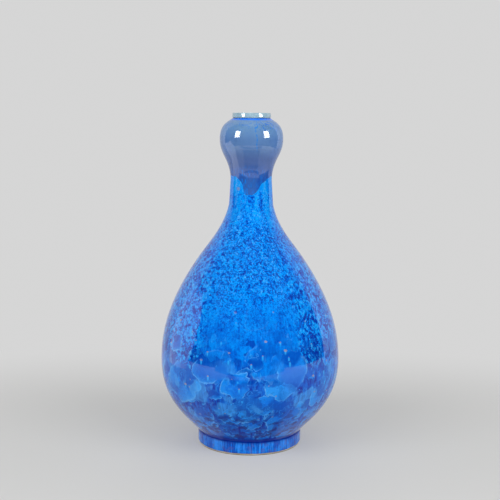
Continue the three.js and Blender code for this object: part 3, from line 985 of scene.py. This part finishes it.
# %% The far table, which turns into the wall
squeezed = tabletop.joined(tabletop.x * 0.6, tabletop.y, 0).length()
far_off = (0.38 + 0.62 * squeezed.rise(110, 400)) * (1 - strip) * seen(tabletop.tree)
bright_table = from_vase.rise(250, 650) * (1 - sideways.rise(80, 110)) * table_gloss
bright_grey = tuple(1.8 * c for c in wall_grey)
glow_tone = mixed(bright_table, wall_grey, bright_grey)
glow = add_node(tabletop.tree, "ShaderNodeEmission", {}, {"Color": glow_tone})
matt = Wire(tabletop.shader.outputs[0])
tabletop.show(add_node(tabletop.tree, "ShaderNodeMixShader", {}, {0: far_off, 1: matt, 2: glow}))
tabletop.dress(table_piece)
tabletop.tally("far part")

# %% [markdown]
# ## The room
# Pale walls stand at the sides and behind, and the room is dark in front. Walls of mesh would
# shade one another, so the world stands for the room: its colour depends on the direction, and
# only glossy rays see the dark front, whose two borders are the sharp lines on the belly.

# %% The world
world = bpy.data.worlds.new("studio")
bpy.context.scene.world = world
world.use_nodes = True
air = world.node_tree
east, north, upward = add_node(air, "ShaderNodeTexCoord", output="Generated").parts()
compass = east.maths("ARCTAN2", north * -1) * (180 / math.pi)
dark_front = compass.rise(-112, -109) * (1 - compass.rise(108, 110)) * (1 - upward.rise(0.9, 0.97))
side_glow = (1 - compass.maths("ABSOLUTE").rise(85, 140)) * (1 - upward.rise(0.5, 0.8))
air_gloss = add_node(air, "ShaderNodeLightPath", output="Is Glossy Ray")
ambient, darkness, side_gain = 0.42, 0.97, 1.5
strength = ambient + (1 - ambient) * seen(air)
strength = strength * (1 - dark_front * air_gloss * darkness)
strength = strength * (1 + side_glow * air_gloss * side_gain)
wall_light = add_node(air, "ShaderNodeCombineXYZ", {}, {0: strength, 1: strength, 2: strength})
wall_light = wall_light.vector("SCALE", wall_grey[0])
air.links.new(wall_light.socket, air.nodes["Background"].inputs["Color"])
print("world nodes:", len(air.nodes))

# %% [markdown]
# ## Soft lamps
# Four large lamps light the clay and the glaze evenly, as paper screens do. They give no
# reflection of their own here: their mirror images would be large and soft, and the real
# windows are small and sharp.


# %% The lamps
def aimed(piece, aim, bearing, elevation, distance):
    """Stands a lamp or a panel off from the point that it faces."""
    a, e = math.radians(bearing), math.radians(elevation)
    toward = Vector((math.sin(a) * math.cos(e), -math.cos(a) * math.cos(e), math.sin(e)))
    piece.location = aim + toward * distance
    piece.rotation_mode = "QUATERNION"
    piece.rotation_quaternion = toward.to_track_quat("Z", "Y")
    bpy.context.scene.collection.objects.link(piece)


bulb_side = Vector((0, 0, bulb_level + 4 * mm))
# Bearing and elevation in degrees, distance and width in m, and radiance
softboxes = (
    ("left", -47, 25, 1.3, 0.9, 3.4),
    ("right", 47, 25, 1.3, 0.9, 3.9),
    ("front", 0, 35, 1.5, 0.8, 1.4),
    ("back", 180, 30, 1.5, 0.9, 1.5),
)
for where, bearing, elevation, distance, width, radiance in softboxes:
    lamp = bpy.data.lights.new("softbox_" + where, "AREA")
    lamp.shape, lamp.size = "SQUARE", width
    lamp.energy = radiance * width**2 * math.pi
    lamp_piece = bpy.data.objects.new("softbox_" + where, lamp)
    aimed(lamp_piece, bulb_side, bearing, elevation, distance)
    lamp_piece.visible_camera = lamp_piece.visible_glossy = False
    print("softbox", where, "power:", round(lamp.energy, 1), "W")

# %% [markdown]
# ## Panels that only reflections show
# The small white windows on the bulb and the lip are the reflections of two softboxes. Bright
# cards near the bulb give them, and black flags keep the cards out of the belly. A low grey
# flag in front hides the far table from the belly, but the bulb looks over it. A pale screen
# at the left lights the flank. All are seen by glossy rays alone.


# %% A panel
def oblong(wide, tall):
    """Corners of a flat rectangle about its middle."""
    x, y = wide / 2, tall / 2
    return [(-x, -y, 0), (x, -y, 0), (x, y, 0), (-x, y, 0)]


def panel(name, aim, bearing, elevation, distance, corners, radiance):
    """A flat panel that only reflections show: bright, or a black flag of radiance 0."""
    shine = Finish(name)
    shine.show(add_node(shine.tree, "ShaderNodeEmission", {}, {"Strength": radiance}))
    mesh = bpy.data.meshes.new(name)
    mesh.from_pydata(corners, [], [range(len(corners))])
    mesh.materials.append(shine.material)
    piece = bpy.data.objects.new(name, mesh)
    aimed(piece, aim, bearing, elevation, distance)
    for ray in ("camera", "diffuse", "shadow", "transmission"):
        setattr(piece, "visible_" + ray, False)
    print(name, "has radiance", radiance)


# %% The two cards, with a black shelf under each
card_lift, card_distance, card_radiance = 16, 0.34, 17
shelf_reach, shelf_below = 0.86, 12 * mm
near_z = -card_distance * shelf_reach
for where, bearing, wide, tall in (("left", -51, 0.11, 0.15), ("right", 55, 0.12, 0.16)):
    card = oblong(wide, tall)
    near_y = -tall / 2 * (1 - shelf_reach) - shelf_below * shelf_reach
    shelf = card[:2] + [(wide / 2, near_y, near_z), (-wide / 2, near_y, near_z)]
    panel("card_" + where, bulb_side, bearing, card_lift, card_distance, card, card_radiance)
    panel("flag_" + where, bulb_side, bearing, card_lift, card_distance, shelf, 0)

# %% The low flag and the left screen
flag_wide, flag_tall, flag_distance, flag_radiance = 0.72, 0.056, 0.42, 0.05
flag_middle = Vector((0, 0, flag_tall / 2))
panel("flag_low", flag_middle, 0, 0, flag_distance, oblong(flag_wide, flag_tall), flag_radiance)

# Corners of the screen across and up, in m
screen_distance, screen_radiance = 0.24, 1.5
screen = [(-0.08, 0.04), (0.06, 0.04), (0.1, 0.1), (0.107, 0.14)]
screen += [(0.107, 0.2), (0.05, 0.26), (0, 0.24), (-0.08, 0.235)]
screen = [(x, y, 0) for x, y in screen]
panel("screen_left", Vector((0, 0, 0)), -90, 0, screen_distance, screen, screen_radiance)

# %% [markdown]
# ## The camera
# The camera could be placed by eye. Here the outline of the turned body, fitted together with
# the camera, gave both: it stands at the height of the lip, 0.94 m away, and looks slightly
# down.

# %% The camera
focal_pixels, image_pixels = 1051.8, 500
camera_place = (-0.6 * mm, -0.943, 0.3)
pitch, roll_angle = math.radians(7.43), math.radians(0.42)
lens = bpy.data.cameras.new("camera")
lens.sensor_width = 36
lens.lens = focal_pixels / image_pixels * lens.sensor_width
camera = bpy.data.objects.new("camera", lens)
bpy.context.scene.collection.objects.link(camera)
tilt = Matrix.Rotation(math.pi / 2 - pitch, 4, "X") @ Matrix.Rotation(roll_angle, 4, "Z")
camera.matrix_world = Matrix.Translation(camera_place) @ tilt
bpy.context.scene.camera = camera
bpy.context.scene.view_settings.view_transform = "Standard"
print("focal length:", round(lens.lens, 1), "mm")

# %% [markdown]
# ## The end
# Then the frame is closed.

# %% The end
bpy.context.view_layer.update()
